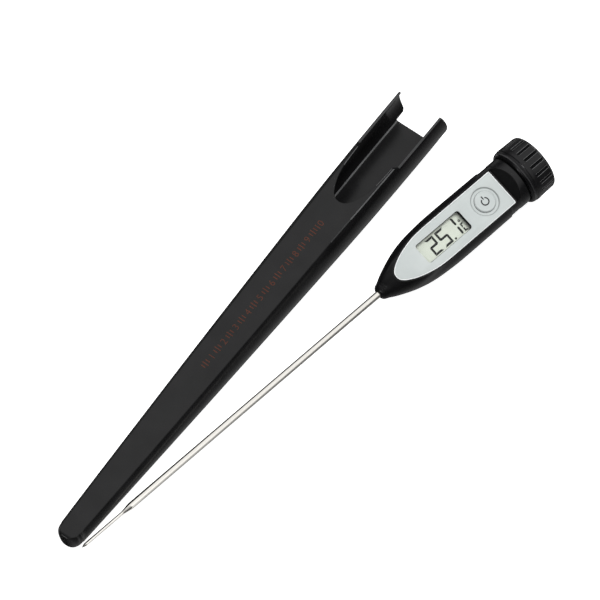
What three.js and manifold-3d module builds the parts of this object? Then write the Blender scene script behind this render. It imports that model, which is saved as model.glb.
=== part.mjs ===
// Soil thermometer probe with its protective sheath, lying side by side.
// Millimetres, +Z up. The sheath lies along +X on its flat back, the thermometer lies beside it
// on the rim of its cap and on the point of its stem.
import * as THREE from "three";
import { mergeVertices } from "three/addons/utils/BufferGeometryUtils.js";
import Module from "manifold-3d";

const wasm = await Module();
wasm.setup();
const { Manifold, Mesh: SolidMesh } = wasm;

// ---------------------------------------------------------------- driving dimensions
// thermometer, measured along its own axis from the point of the stem
const STEM_R = 1.75;            // 3.5 mm stem
const TIP_R = 0.85;             // reduced tip
const TIP_LEN = 27;             // length of the reduced tip
const TIP_CONE = 4;             // taper up to the full stem
const NOSE_X = 200;             // exposed stem length
const BODY_R = 14.4;            // widest half-width of the head
const BACK_FLAT = 10.9;         // flat on the back of the head, below the axis
const SEAT_Z = 6.9;             // floor of the face recess, above the axis
const LABEL_Z = 7.15;           // underside of the face plate
const LABEL_T = 0.5;
const LABEL_X0 = 210.7, LABEL_X1 = 284.8;
const LABEL_HW = 10.6;
const GROOVE = 0.6;             // gap round the face plate
const WIN_X0 = 228.6, WIN_X1 = 258.2, WIN_HW = 5.8;   // display window
const BTN_X = 272.6;            // button centre
const BTN_R = 5.45;
const COLLAR_END = 293.6;
const CAP_X0 = 294.2, CAP_X1 = 309.8, CAP_R = 16.1;
const THREAD_PITCH = 2.5;
const NECK_R = 11.7, NECK_BORE = 10.3, NECK_END = 304.6;
// sheath, measured along its own axis
const SHEATH_TIP = 1.2;         // end of the closed tip
const SHEATH_L = 300.8;
const SHEATH_WALL = 1.0;
const SHEATH_TALL = 1.16;       // section is this much taller than wide before the flats
const SHEATH_BACK_END = 293.3;  // the back wall stops here, the two side arms go on
const ARM_LOW = 10.6;           // lower edge of the arms, below the axis
const WINDOW_X = 227.2;         // bottom of the cut-out in the front wall
const RIM_STEP_X = 261.8;       // foot of the slant where the cut-out's rim drops
const RIM_DROP = 2.5;
// how the two lie
const YAW = -10.59;             // thermometer's direction from the sheath's, degrees
const ROLL = 15.6;              // the face is rolled this far towards -Y
const PITCH = 2.9592;           // cap rim and tip both touch the surface
const TIP_POS = [5.12, -7.22, 0.7146];
const SHEATH_PITCH = 1.633;
const SHEATH_LIFT = 5.698;

// ---------------------------------------------------------------- helpers
function toSolid(geometry) {
  let g = geometry.clone();
  g.deleteAttribute("normal");
  g.deleteAttribute("uv");
  g = mergeVertices(g, 1e-4);
  const p = g.attributes.position;
  const src = g.index.array;
  const tri = [];
  for (let i = 0; i < src.length; i += 3) {
    const [a, b, c] = [src[i], src[i + 1], src[i + 2]];
    if (a !== b && b !== c && a !== c) tri.push(a, b, c);
  }
  let volume = 0;
  const A = new THREE.Vector3(), B = new THREE.Vector3(), C = new THREE.Vector3();
  for (let i = 0; i < tri.length; i += 3) {
    A.fromBufferAttribute(p, tri[i]); B.fromBufferAttribute(p, tri[i + 1]); C.fromBufferAttribute(p, tri[i + 2]);
    volume += A.dot(B.cross(C));
  }
  if (volume < 0) for (let i = 0; i < tri.length; i += 3) [tri[i], tri[i + 1]] = [tri[i + 1], tri[i]];
  return new Manifold(new SolidMesh({
    numProp: 3, vertProperties: new Float32Array(p.array), triVerts: new Uint32Array(tri),
  }));
}

function toGeometry(solid) {
  const m = solid.getMesh();
  const g = new THREE.BufferGeometry();
  const n = m.numProp;
  const pos = new Float32Array((m.vertProperties.length / n) * 3);
  for (let i = 0; i < pos.length / 3; i++) for (let k = 0; k < 3; k++) pos[3 * i + k] = m.vertProperties[n * i + k];
  g.setAttribute("position", new THREE.BufferAttribute(pos, 3));
  g.setIndex(new THREE.BufferAttribute(new Uint32Array(m.triVerts), 1));
  g.computeVertexNormals();
  return g;
}

// profile of [x, r] pairs turned about the X axis
function turned(profile, segments = 48) {
  const g = new THREE.LatheGeometry(profile.map(([x, r]) => new THREE.Vector2(r, x)), segments);
  g.rotateZ(-Math.PI / 2);
  return toSolid(g);
}
// a closed [x, r] ring profile turned about the X axis
function ring(profile, segments = 48) {
  return turned([...profile, profile[0]], segments);
}
function shapeOf(points) {
  return new THREE.Shape(points.map(([x, y]) => new THREE.Vector2(x, y)));
}
// outline in XY, raised from z0 to z1
function plate(shape, z0, z1, curveSegments = 10) {
  const s = Array.isArray(shape) ? shapeOf(shape) : shape;
  const g = new THREE.ExtrudeGeometry(s, { depth: z1 - z0, bevelEnabled: false, curveSegments });
  g.translate(0, 0, z0);
  return toSolid(g);
}
// outline in XZ, from y0 to y1
function slab(points, y0, y1) {
  const g = new THREE.ExtrudeGeometry(shapeOf(points), { depth: y1 - y0, bevelEnabled: false });
  g.rotateX(Math.PI / 2);          // shape (x, y) -> (x, z), depth -> -y
  g.translate(0, y1, 0);
  return toSolid(g);
}
function block(x0, x1, y0, y1, z0, z1) {
  const g = new THREE.BoxGeometry(x1 - x0, y1 - y0, z1 - z0);
  g.translate((x0 + x1) / 2, (y0 + y1) / 2, (z0 + z1) / 2);
  return toSolid(g);
}
// round bar along Z
function post(x, y, r, z0, z1, segments = 32) {
  const g = new THREE.CylinderGeometry(r, r, z1 - z0, segments);
  g.rotateX(Math.PI / 2);
  g.translate(x, y, (z0 + z1) / 2);
  return toSolid(g);
}
// round bar along X
function bar(x0, x1, y, z, r, segments = 16) {
  const g = new THREE.CylinderGeometry(r, r, x1 - x0, segments);
  g.rotateZ(Math.PI / 2);
  g.translate((x0 + x1) / 2, y, z);
  return toSolid(g);
}
function roundedRect(x0, x1, hw, r) {
  const s = new THREE.Shape();
  s.moveTo(x0 + r, -hw);
  s.lineTo(x1 - r, -hw); s.quadraticCurveTo(x1, -hw, x1, -hw + r);
  s.lineTo(x1, hw - r); s.quadraticCurveTo(x1, hw, x1 - r, hw);
  s.lineTo(x0 + r, hw); s.quadraticCurveTo(x0, hw, x0, hw - r);
  s.lineTo(x0, -hw + r); s.quadraticCurveTo(x0, -hw, x0 + r, -hw);
  return s;
}
// a helix about the X axis whose section keeps its radial direction
class HelixCurve extends THREE.Curve {
  constructor(radius, pitch, x0, turns, phase) {
    super();
    Object.assign(this, { radius, pitch, x0, turns, phase });
  }
  angle(t) { return this.phase + 2 * Math.PI * this.turns * t; }
  getPoint(t, target = new THREE.Vector3()) {
    const a = this.angle(t);
    return target.set(this.x0 + this.pitch * this.turns * t, this.radius * Math.cos(a), this.radius * Math.sin(a));
  }
  computeFrenetFrames(segments) {
    const tangents = [], normals = [], binormals = [];
    for (let i = 0; i <= segments; i++) {
      const a = this.angle(i / segments);
      const radial = new THREE.Vector3(0, Math.cos(a), Math.sin(a));
      const tangent = new THREE.Vector3(this.pitch / (2 * Math.PI), -this.radius * Math.sin(a), this.radius * Math.cos(a)).normalize();
      tangents.push(tangent); normals.push(radial);
      binormals.push(new THREE.Vector3().crossVectors(tangent, radial));
    }
    return { tangents, normals, binormals };
  }
}
// thread ridge: base and crest radius, base and crest width
function threadRidge(rBase, rCrest, wBase, wCrest, x0, turns, phase, stepsPerTurn = 28) {
  const path = new HelixCurve(rBase, THREAD_PITCH, x0, turns, phase);
  const h = rCrest - rBase;
  const section = shapeOf([[0, -wBase / 2], [h, -wCrest / 2], [h, wCrest / 2], [0, wBase / 2]]);
  const g = new THREE.ExtrudeGeometry(section, {
    steps: Math.round(turns * stepsPerTurn), bevelEnabled: false, extrudePath: path,
  });
  return toSolid(g);
}
// a fine round wire along a smooth path
function wire(points, r, steps, sides = 6) {
  const path = new THREE.CatmullRomCurve3(points.map((p) => new THREE.Vector3(...p)), false, "centripetal");
  const section = new THREE.Shape(Array.from({ length: sides }, (_, i) =>
    new THREE.Vector2(r * Math.cos((2 * Math.PI * i) / sides), r * Math.sin((2 * Math.PI * i) / sides))));
  return toSolid(new THREE.ExtrudeGeometry(section, { steps, bevelEnabled: false, extrudePath: path }));
}

const MAT = {
  black: { color: 0x141416, roughness: 0.38, metalness: 0 },
  sheath: { color: 0x17171a, roughness: 0.45, metalness: 0 },
  steel: { color: 0xb9b4ac, roughness: 0.25, metalness: 1 },
  label: { color: 0xc4c9c8, roughness: 0.45, metalness: 0.2 },
  clear: { color: 0xe8eeea, roughness: 0.05, metalness: 0 },
  lcd: { color: 0xd5dace, roughness: 0.2, metalness: 0 },
  white: { color: 0xe6e6e2, roughness: 0.6, metalness: 0 },
  rubber: { color: 0x202022, roughness: 0.8, metalness: 0 },
  board: { color: 0x2b6b3c, roughness: 0.5, metalness: 0 },
  nickel: { color: 0xc9c7c0, roughness: 0.3, metalness: 1 },
  ceramic: { color: 0x8a6a48, roughness: 0.6, metalness: 0 },
  copper: { color: 0xb5622e, roughness: 0.4, metalness: 1 },
  epoxy: { color: 0x0e0e10, roughness: 0.3, metalness: 0 },
};
function put(group, name, solid, look) {
  const mesh = new THREE.Mesh(toGeometry(solid), new THREE.MeshStandardMaterial(MAT[look]));
  mesh.name = name;
  group.add(mesh);
  return mesh;
}

// ---------------------------------------------------------------- outlines
// half-width of the head along its axis
const HEAD = [
  [200, 2.9], [200.5, 3.5], [201.2, 4.05], [203.2, 4.9], [206.3, 6.5], [210.6, 8.35], [215.9, 10.35], [221.2, 11.9],
  [226.5, 13.0], [231.8, 13.65], [237.1, 14.05], [243, 14.33], [250, BODY_R], [264, 14.35], [274.6, 14.25], [280.6, 14.2],
  [281.2, 13.75], [286.2, 13.65], [287.4, 13.65], [288.0, 13.85], [293.2, 13.85], [COLLAR_END, 13.5],
];
function labelOutline(grow) {
  const half = [
    [LABEL_X0, 0], [210.95, 1.5], [211.7, 2.75], [213.6, 4.4], [216.2, 5.85], [219, 7.1], [221.6, 8.0], [224.3, 8.75],
    [227, 9.4], [229.6, 9.88], [232.2, 10.22], [234.9, 10.43], [240.2, LABEL_HW], [262, LABEL_HW], [283.9, LABEL_HW],
    [284.6, 10.35], [LABEL_X1, 9.7],
  ];
  // move each point outwards along the local normal
  const pts = half.map(([x, y], i) => {
    const a = half[Math.max(0, i - 1)], b = half[Math.min(half.length - 1, i + 1)];
    let nx = -(b[1] - a[1]), ny = b[0] - a[0];
    if (i === 0) { nx = -1; ny = 0; }
    if (i === half.length - 1) { nx = 1; ny = 0; }
    if (i === half.length - 2) { nx = 0.6; ny = 0.8; }
    if (i === half.length - 3) { nx = 0; ny = 1; }
    const l = Math.hypot(nx, ny);
    return [x + (grow * nx) / l, y + (grow * ny) / l];
  });
  const lower = pts.slice(1).map(([x, y]) => [x, -y]).reverse();
  return [...pts, ...lower].reverse();
}

// ---------------------------------------------------------------- thermometer
const thermo = new THREE.Group();       // its own frame: X along the stem from the point, Z out of the face

// housing: ogive head with a recessed flat face, round collar and threaded neck, hollow inside
{
  const neck = [[COLLAR_END, 11.4], [296.6, 11.4], [296.6, NECK_R], [NECK_END - 0.5, NECK_R], [NECK_END, NECK_R - 0.5]];
  let s = turned([[NOSE_X, 0], ...HEAD, ...neck, [NECK_END, 0]], 48);
  s = s.subtract(block(195, 287.4, -20, 20, -20, -BACK_FLAT));
  s = s.subtract(plate(labelOutline(GROOVE), SEAT_Z, 20));
  s = s.subtract(slab([[280, SEAT_Z], [285.9, SEAT_Z], [290.6, 14.9], [280, 14.9]], -LABEL_HW - GROOVE, LABEL_HW + GROOVE));
  // electronics space: follows the outside, with a flat roof under the face and a flat floor
  let room = turned([
    [214, 0], [214, 7.7], [216, 8.6], [221.2, 10.25], [226.5, 11.35], [231.8, 12.0], [237.1, 12.4], [250, 12.75],
    [280, 12.5], [286, 12.1], [289.5, NECK_BORE], [292, NECK_BORE], [292, 0],
  ], 32);
  room = room.intersect(block(200, 300, -20, 20, -9.3, 5.3));
  s = s.subtract(room);
  s = s.subtract(bar(290, 310, 0, 0, NECK_BORE, 32));
  s = s.subtract(block(288.3, 310, -1.7, 1.7, -11.0, -8));      // channel for the side contact
  s = s.subtract(bar(195, 216, 0, 0, STEM_R + 0.3, 24));      // nose bore
  s = s.subtract(ring([[205, 1.5], [205, 3.05], [206.4, 3.05], [206.4, 1.5]], 24));
  s = s.subtract(plate(roundedRect(WIN_X0 + 0.2, WIN_X1 - 0.2, WIN_HW - 0.2, 1.4), 5, 8));
  s = s.subtract(plate(roundedRect(WIN_X0 - 1.3, WIN_X1 + 1.3, WIN_HW + 1.3, 1.6), 5.9, 8));
  s = s.subtract(post(BTN_X, 0, 2.3, 5, 8));
  s = s.add(threadRidge(11.4, 12.7, 1.5, 0.55, 297.9, 1.9, 0));
  put(thermo, "housing", s, "black");
}

// stem: swaged tube, closed and pointed at the tip, open inside the head
put(thermo, "probe_stem", turned([
  [0, 0], [0.9, 0.42], [2.6, TIP_R], [TIP_LEN, TIP_R], [TIP_LEN + TIP_CONE, STEM_R], [220.5, STEM_R],
  [220.5, STEM_R - 0.3], [TIP_LEN + TIP_CONE + 0.4, STEM_R - 0.3], [TIP_LEN, 0.62], [4, 0.62], [3.2, 0.3], [3.0, 0],
], 24), "steel");
put(thermo, "stem_flange", ring([[214.3, 2.05], [214.3, 4.2], [216.1, 4.2], [216.1, 2.05]], 24), "steel");
put(thermo, "nose_seal", ring(Array.from({ length: 8 }, (_, i) => {
  const a = (2 * Math.PI * i) / 8;
  return [205.7 + 0.34 * Math.cos(a), 2.41 + 0.34 * Math.sin(a)];
}), 20), "rubber");

put(thermo, "thermistor_bead", turned([[4.3, 0], [4.5, 0.25], [5.0, 0.4], [5.8, 0.4], [6.3, 0.25], [6.5, 0]], 12), "epoxy");
for (const [name, side] of [["thermistor_lead_a", 1], ["thermistor_lead_b", -1]]) {
  put(thermo, name, wire([
    [6.9, 0.2 * side, 0], [20, 0.25 * side, 0], [60, 0.5 * side, 0], [140, 0.5 * side, 0], [214, 0.5 * side, 0],
    [219, 0.55 * side, 0.05], [221.4, 0.9 * side, 0.6], [222.6, 1.4 * side, 0.78], [224.6, 1.6 * side, 0.78],
  ], 0.12, 20, 5), "copper");
}

// face plate with its window and the button's hole
{
  let s = plate(labelOutline(0), LABEL_Z, LABEL_Z + LABEL_T);
  s = s.subtract(plate(roundedRect(WIN_X0, WIN_X1, WIN_HW, 1.5), LABEL_Z - 1, LABEL_Z + 2));
  s = s.subtract(post(BTN_X, 0, BTN_R + 0.3, LABEL_Z - 1, LABEL_Z + 2, 48));
  put(thermo, "face_label", s, "label");
}
put(thermo, "lcd_window", plate(roundedRect(WIN_X0 - 1, WIN_X1 + 1, WIN_HW + 1, 1.4), 6.2, 6.8), "clear");
put(thermo, "lcd_glass", block(226.9, 260.1, -8.0, 8.0, 3.0, 4.7), "lcd");
{
  let s = block(225.8, 261.2, -9.3, 9.3, 0.6, 5.0);
  s = s.subtract(block(226.6, 260.4, -8.3, 8.3, 0, 6));
  put(thermo, "lcd_frame", s, "white");
}
put(thermo, "zebra_strip_a", block(229, 258, 5.9, 7.7, 0.6, 2.7), "rubber");
put(thermo, "zebra_strip_b", block(229, 258, -7.7, -5.9, 0.6, 2.7), "rubber");

// board with a narrow tongue for the sensor leads
put(thermo, "circuit_board", plate([
  [221.8, -3.2], [225.2, -3.2], [225.2, -9.3], [287.6, -9.3], [287.6, 9.3], [225.2, 9.3], [225.2, 3.2], [221.8, 3.2],
], -0.7, 0.3), "board");
{
  const g = new THREE.LatheGeometry([[0, -2.7], [1.6, -2.55], [3.2, -2.1], [4.4, -1.5], [4.9, -1.0], [0, -1.0]]
    .map(([r, z]) => new THREE.Vector2(r, z)), 28);
  g.rotateX(Math.PI / 2);
  g.translate(244, 0, 0);
  put(thermo, "chip_blob", toSolid(g), "epoxy");
}
put(thermo, "watch_crystal", bar(262, 268.2, 4.5, -2.1, 1.05, 16), "nickel");
put(thermo, "chip_capacitor", block(262, 264, -5.6, -4.4, -1.9, -1.0), "ceramic");
put(thermo, "chip_resistor_a", block(254, 256, -5.4, -4.2, -1.6, -1.0), "epoxy");
put(thermo, "chip_resistor_b", block(254, 256, 4.2, 5.4, -1.6, -1.0), "epoxy");

// tactile switch under the button
{
  let s = block(BTN_X - 3, BTN_X + 3, -3, 3, 0.6, 3.4);
  s = s.subtract(post(BTN_X, 0, 2.0, 2.2, 4));
  put(thermo, "switch_body", s, "epoxy");
}

// battery end: tray, contacts and seal ring
{
  let s = turned([[296.4, 0], [296.4, 10.0], [298.0, 10.0], [298.0, 0]], 40);
  s = s.subtract(block(290, 300, -1.9, 1.9, 0.1, 1.5));
  s = s.subtract(block(290, 300, -1.7, 1.7, -11, -9.2));
  put(thermo, "battery_tray", s, "white");
}
put(thermo, "contact_negative", slab([
  [283.4, 0.6], [298.9, 0.6], [299.6, -0.6], [299.9, -5.6], [300.15, -5.6], [299.9, -0.5], [299.2, 0.9], [283.4, 0.9],
], -1.5, 1.5), "nickel");
put(thermo, "contact_positive", slab([
  [284.6, -1.0], [284.6, -1.3], [286.9, -1.3], [288.6, -8.6], [290.2, -10.65], [303.2, -10.65], [303.2, -10.35],
  [290.5, -10.35], [288.95, -8.4], [287.2, -1.0],
], -1.3, 1.3), "nickel");
put(thermo, "cap_seal_ring", ring(Array.from({ length: 8 }, (_, i) => {
  const a = (2 * Math.PI * i) / 8;
  return [295.2 + 0.75 * Math.cos(a), 12.5 + 0.75 * Math.sin(a)];
}), 40), "rubber");

// button, with the pin and the switch plunger that it drives
put(thermo, "button_pad", (() => {
  const g = new THREE.LatheGeometry([[0, 7.35], [BTN_R - 0.2, 7.35], [BTN_R, 7.45], [BTN_R, 7.7], [BTN_R - 0.3, 7.92], [4.6, 7.86], [2.5, 8.0], [0, 8.05]]
    .map(([r, z]) => new THREE.Vector2(r, z)), 36);
  g.rotateX(Math.PI / 2);
  g.translate(BTN_X, 0, 0);
  return toSolid(g);
})(), "label");
put(thermo, "button_pin", post(BTN_X, 0, 1.6, 4.6, 7.05, 24), "black");
put(thermo, "switch_plunger", post(BTN_X, 0, 1.7, 2.75, 4.3, 24), "white");

// coin cell: can and cover are open cups one inside the other, with the gasket between
put(thermo, "cell_can", turned([[303.6, 0], [303.6, 9.7], [303.3, 10.0], [300.9, 10.0], [300.9, 9.75], [303.3, 9.75], [303.3, 0]], 36), "nickel");
put(thermo, "cell_gasket", ring([[300.8, 8.95], [302.9, 8.95], [302.9, 9.5], [300.8, 9.5]], 32), "white");
put(thermo, "cell_cover", turned([[300.4, 0], [300.4, 8.4], [300.7, 8.7], [302.8, 8.7], [302.8, 8.45], [300.7, 8.35], [300.65, 0]], 32), "nickel");
put(thermo, "cell_core", turned([[300.95, 0], [300.95, 8.05], [303.0, 8.05], [303.0, 0]], 28), "epoxy");

// screw cap: smooth flange, ribbed rear half, female thread inside
{
  let s = turned([
    [CAP_X0, 13.4], [CAP_X0, 14.1], [CAP_X0 + 0.35, 14.8], [CAP_X0 + 1.1, 15.5], [CAP_X0 + 2.1, 15.85], [296.5, 15.85], [296.8, 15.6], [297.3, 15.6], [297.6, CAP_R],
    [299.2, CAP_R], [300.2, 15.95], [304, 15.9], [308.5, 15.78], [309.3, 15.4], [CAP_X1, 14.6], [CAP_X1, 0], [307.8, 0],
    [307.8, 12.9], [305.6, 13.1], [296.4, 13.1], [296.4, 13.6],
    [CAP_X0 + 0.2, 13.6], [CAP_X0, 13.4],
  ], 60);
  s = s.add(threadRidge(13.4, 12.1, 1.5, 0.55, 297.9 - THREAD_PITCH / 2 + 0.3, 2.6, (0.3 / THREAD_PITCH) * 2 * Math.PI));
  const GROOVES = 20;
  for (let i = 0; i < GROOVES; i++) {
    const a = THREE.MathUtils.degToRad(100.7 + (360 / GROOVES) * i);
    s = s.subtract(bar(300.1, 312, 16.1 * Math.cos(a), 16.1 * Math.sin(a), 0.9, 8));
  }
  put(thermo, "cap_shell", s, "black");
}
put(thermo, "cap_pressure_pad", turned([[303.9, 0], [303.9, 8.4], [307.5, 8.4], [307.5, 0]], 28), "rubber");

// ---------------------------------------------------------------- sheath
const sheath = new THREE.Group();       // its own frame: X along the axis of the hollow, towards the mouth
{
  const half = [
    [SHEATH_TIP, 6.9], [12.2, 7.42], [22.4, 7.87], [43.1, 8.72], [63.9, 9.52], [84.9, 10.33], [106.1, 11.15], [127.4, 11.9],
    [148.9, 12.63], [170.6, 13.34], [192.4, 14.03], [214.5, 14.7], [225, 14.98], [236.7, 15.22], [259, 15.52], [281.7, 15.65],
    [SHEATH_L, 15.65],
  ];
  const skin = (wall, x0, x1) => {
    const g0 = turned([[x0, 0], ...half.map(([x, r], i) => [i === 0 ? x0 : i === half.length - 1 ? x1 : x, r - wall]), [x1, 0]], 48);
    const g = toGeometry(g0);
    g.scale(1, 1, SHEATH_TALL);
    return toSolid(g);
  };
  const side = (wall, x0, x1) => slab([
    [x0, -5.7 + wall], [214, -11.8 + wall], [x1, -12.4 + wall], [x1, 12.2 - wall], [214, 11.7 - wall], [x0, 5.6 - wall],
  ], -20, 20);
  // rounded end, seen from above
  const plan = (wall) => {
    const w = 6.95 - wall, x = SHEATH_TIP + wall;
    const pts = [];
    for (let i = 0; i <= 14; i++) {
      const a = -Math.PI / 2 + (Math.PI * i) / 14;
      const c = Math.cos(a), sn = Math.sin(a);
      pts.push([x + 6.2 - 6.2 * Math.sign(c) * Math.pow(Math.abs(c), 0.8), w * Math.sign(sn) * Math.pow(Math.abs(sn), 0.8)]);
    }
    return plate([...pts.map(([px, py]) => [px, -py]), [12, -30], [310, -30], [310, 30], [12, 30]].reverse(), -30, 30);
  };
  const outer = skin(0, SHEATH_TIP, SHEATH_L).intersect(side(0, -1, SHEATH_L + 1)).intersect(plan(0));
  const inner = skin(SHEATH_WALL, SHEATH_TIP + 1.4, SHEATH_L + 5).intersect(side(SHEATH_WALL, -1, SHEATH_L + 6)).intersect(plan(SHEATH_WALL));
  let s = outer.subtract(inner);
  // cut-out in the front wall, with a rounded bottom
  const cut = [
    [WINDOW_X, 0], [227.6, 1.9], [228.4, 3.3], [229.8, 4.7], [231.6, 5.8], [234, 7.0], [236.8, 8.1], [239.8, 9.0], [243, 9.65], [246.5, 10.1],
    [254, 10.5], [262.4, 10.8], [320, 10.9],
  ];
  s = s.subtract(plate([...cut, ...cut.slice(1).map(([x, y]) => [x, -y]).reverse()].reverse(), 3, 25));
  s = s.subtract(slab([
    [RIM_STEP_X - 4, 12.42], [RIM_STEP_X, 12.0 - RIM_DROP], [320, 12.0 - RIM_DROP], [320, 30], [RIM_STEP_X - 4, 30],
  ], -25, 25));
  // the back wall stops short of the two arms, whose ends are rounded off
  s = s.subtract(block(SHEATH_BACK_END, 320, -25, 25, -20, -ARM_LOW));
  s = s.subtract(slab([
    [298.2, 9.7], [298.9, 7.6], [299.6, 4.6], [300.2, 1.0], [300.6, -3.0], [SHEATH_L, -7.0], [300.6, -9.4], [300.0, -10.2], [299.0, -10.75],
    [299.0, -14], [320, -14], [320, 14], [298.2, 14],
  ], -25, 25));
  put(sheath, "sheath_shell", s, "sheath");
}

// ---------------------------------------------------------------- the two laid side by side
const part = new THREE.Group();
const layout = new THREE.Group();

const rollGroup = new THREE.Group();
rollGroup.rotation.x = THREE.MathUtils.degToRad(ROLL);
rollGroup.add(thermo);
const pitchGroup = new THREE.Group();
pitchGroup.rotation.y = -THREE.MathUtils.degToRad(PITCH);
pitchGroup.add(rollGroup);
const yawGroup = new THREE.Group();
yawGroup.rotation.z = THREE.MathUtils.degToRad(YAW);
yawGroup.position.set(...TIP_POS);
yawGroup.add(pitchGroup);

const sheathPitch = new THREE.Group();
sheathPitch.rotation.y = -THREE.MathUtils.degToRad(SHEATH_PITCH);
sheathPitch.position.z = SHEATH_LIFT;
sheathPitch.add(sheath);

layout.add(yawGroup, sheathPitch);
part.add(layout);

// origin at the middle of the footprint, on the surface
part.updateMatrixWorld(true);
const box = new THREE.Box3().setFromObject(part, true);
layout.position.set(-(box.min.x + box.max.x) / 2, -(box.min.y + box.max.y) / 2, -box.min.z);
part.updateMatrixWorld(true);

export default part;
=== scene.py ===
"""Looks of the soil thermometer probe and its sheath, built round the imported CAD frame."""

import math

import bmesh
import bpy
import numpy as np
from mathutils import Matrix, Vector


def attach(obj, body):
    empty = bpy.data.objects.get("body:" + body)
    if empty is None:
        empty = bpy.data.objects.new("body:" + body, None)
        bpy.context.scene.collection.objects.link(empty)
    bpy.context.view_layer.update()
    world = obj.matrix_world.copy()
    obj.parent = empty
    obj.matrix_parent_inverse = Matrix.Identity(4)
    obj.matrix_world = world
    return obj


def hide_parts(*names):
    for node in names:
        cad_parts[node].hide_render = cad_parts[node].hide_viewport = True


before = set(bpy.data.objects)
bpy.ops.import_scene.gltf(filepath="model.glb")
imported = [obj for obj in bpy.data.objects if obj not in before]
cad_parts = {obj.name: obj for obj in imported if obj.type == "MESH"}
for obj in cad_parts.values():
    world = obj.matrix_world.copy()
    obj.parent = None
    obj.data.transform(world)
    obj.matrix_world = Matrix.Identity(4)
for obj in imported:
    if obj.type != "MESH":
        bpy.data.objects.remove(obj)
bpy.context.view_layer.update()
MM = 0.001

# ------------------------------------------------------------------ the two local frames
# T: thermometer, X along the stem from its point, Z out of the face
# S: sheath, X along its hollow from the closed tip, Z out of its front
LAYOUT = Vector((-156.52926, 31.840908, 0.027881))


def rot(axis, deg):
    return Matrix.Rotation(math.radians(deg), 4, axis)


def local_frame(place, *turns):
    m = Matrix.Translation((LAYOUT + Vector(place)) * MM)
    for t in turns:
        m = m @ t
    return m


T_FRAME = local_frame((5.12, -7.22, 0.7146), rot("Z", -10.59), rot("Y", -2.9592), rot("X", 15.6))
S_FRAME = local_frame((0, 0, 5.698), rot("Y", -1.633))


# ------------------------------------------------------------------ mesh helpers
def new_object(name, verts, faces, at=None):
    """verts in millimetres in the local frame."""
    me = bpy.data.meshes.new(name)
    me.from_pydata([(x * MM, y * MM, z * MM) for x, y, z in verts], [], faces)
    me.validate()
    ob = bpy.data.objects.new(name, me)
    bpy.context.scene.collection.objects.link(ob)
    if at is not None:
        ob.matrix_world = at
    return ob


def clean(ob, weld=1e-6):
    bm = bmesh.new()
    bm.from_mesh(ob.data)
    bmesh.ops.remove_doubles(bm, verts=bm.verts, dist=weld)
    bmesh.ops.dissolve_degenerate(bm, edges=bm.edges, dist=1e-8)
    bmesh.ops.recalc_face_normals(bm, faces=bm.faces)
    bm.to_mesh(ob.data)
    bm.free()
    return ob


def soften(ob, degrees=32):
    """Smooth shading, with edges sharper than this kept sharp."""
    bm = bmesh.new()
    bm.from_mesh(ob.data)
    limit = math.radians(degrees)
    for f in bm.faces:
        f.smooth = True
    for e in bm.edges:
        e.smooth = len(e.link_faces) == 2 and e.calc_face_angle(0) < limit
    bm.to_mesh(ob.data)
    bm.free()
    return ob


def baked(ob):
    """Applies ob's modifiers to its mesh."""
    bpy.context.view_layer.update()
    dg = bpy.context.evaluated_depsgraph_get()
    me = bpy.data.meshes.new_from_object(ob.evaluated_get(dg))
    old = ob.data
    ob.modifiers.clear()
    ob.data = me
    bpy.data.meshes.remove(old)
    return ob


def cut(ob, *tools, operation="DIFFERENCE"):
    for tool in tools:
        whole = ob.data.copy()
        for solver in ("MANIFOLD", "EXACT"):
            m = ob.modifiers.new("cut", "BOOLEAN")
            m.operation = operation
            m.solver = solver
            m.object = tool
            baked(ob)
            if len(ob.data.polygons) and len(ob.data.polygons) != len(whole.polygons):
                break
            ob.data = whole.copy()
        bpy.data.meshes.remove(whole)
        me = tool.data
        bpy.data.objects.remove(tool)
        bpy.data.meshes.remove(me)
    return ob


def curve_points(points, per=6):
    """A smooth curve through 2D points (centripetal Catmull-Rom)."""
    p = np.array(points, float)
    p = np.vstack([2 * p[0] - p[1], p, 2 * p[-1] - p[-2]])
    out = []
    for i in range(1, len(p) - 2):
        a, b, c, d = p[i - 1 : i + 3]
        t0 = 0.0
        t1 = t0 + np.linalg.norm(b - a) ** 0.5
        t2 = t1 + np.linalg.norm(c - b) ** 0.5
        t3 = t2 + np.linalg.norm(d - c) ** 0.5
        for k in range(per):
            t = t1 + (t2 - t1) * k / per
            a1 = (t1 - t) / (t1 - t0) * a + (t - t0) / (t1 - t0) * b
            a2 = (t2 - t) / (t2 - t1) * b + (t - t1) / (t2 - t1) * c
            a3 = (t3 - t) / (t3 - t2) * c + (t - t2) / (t3 - t2) * d
            b1 = (t2 - t) / (t2 - t0) * a1 + (t - t0) / (t2 - t0) * a2
            b2 = (t3 - t) / (t3 - t1) * a2 + (t - t1) / (t3 - t1) * a3
            out.append(((t2 - t) / (t2 - t1) * b1 + (t - t1) / (t2 - t1) * b2).tolist())
    out.append(p[-2].tolist())
    return out


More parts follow.
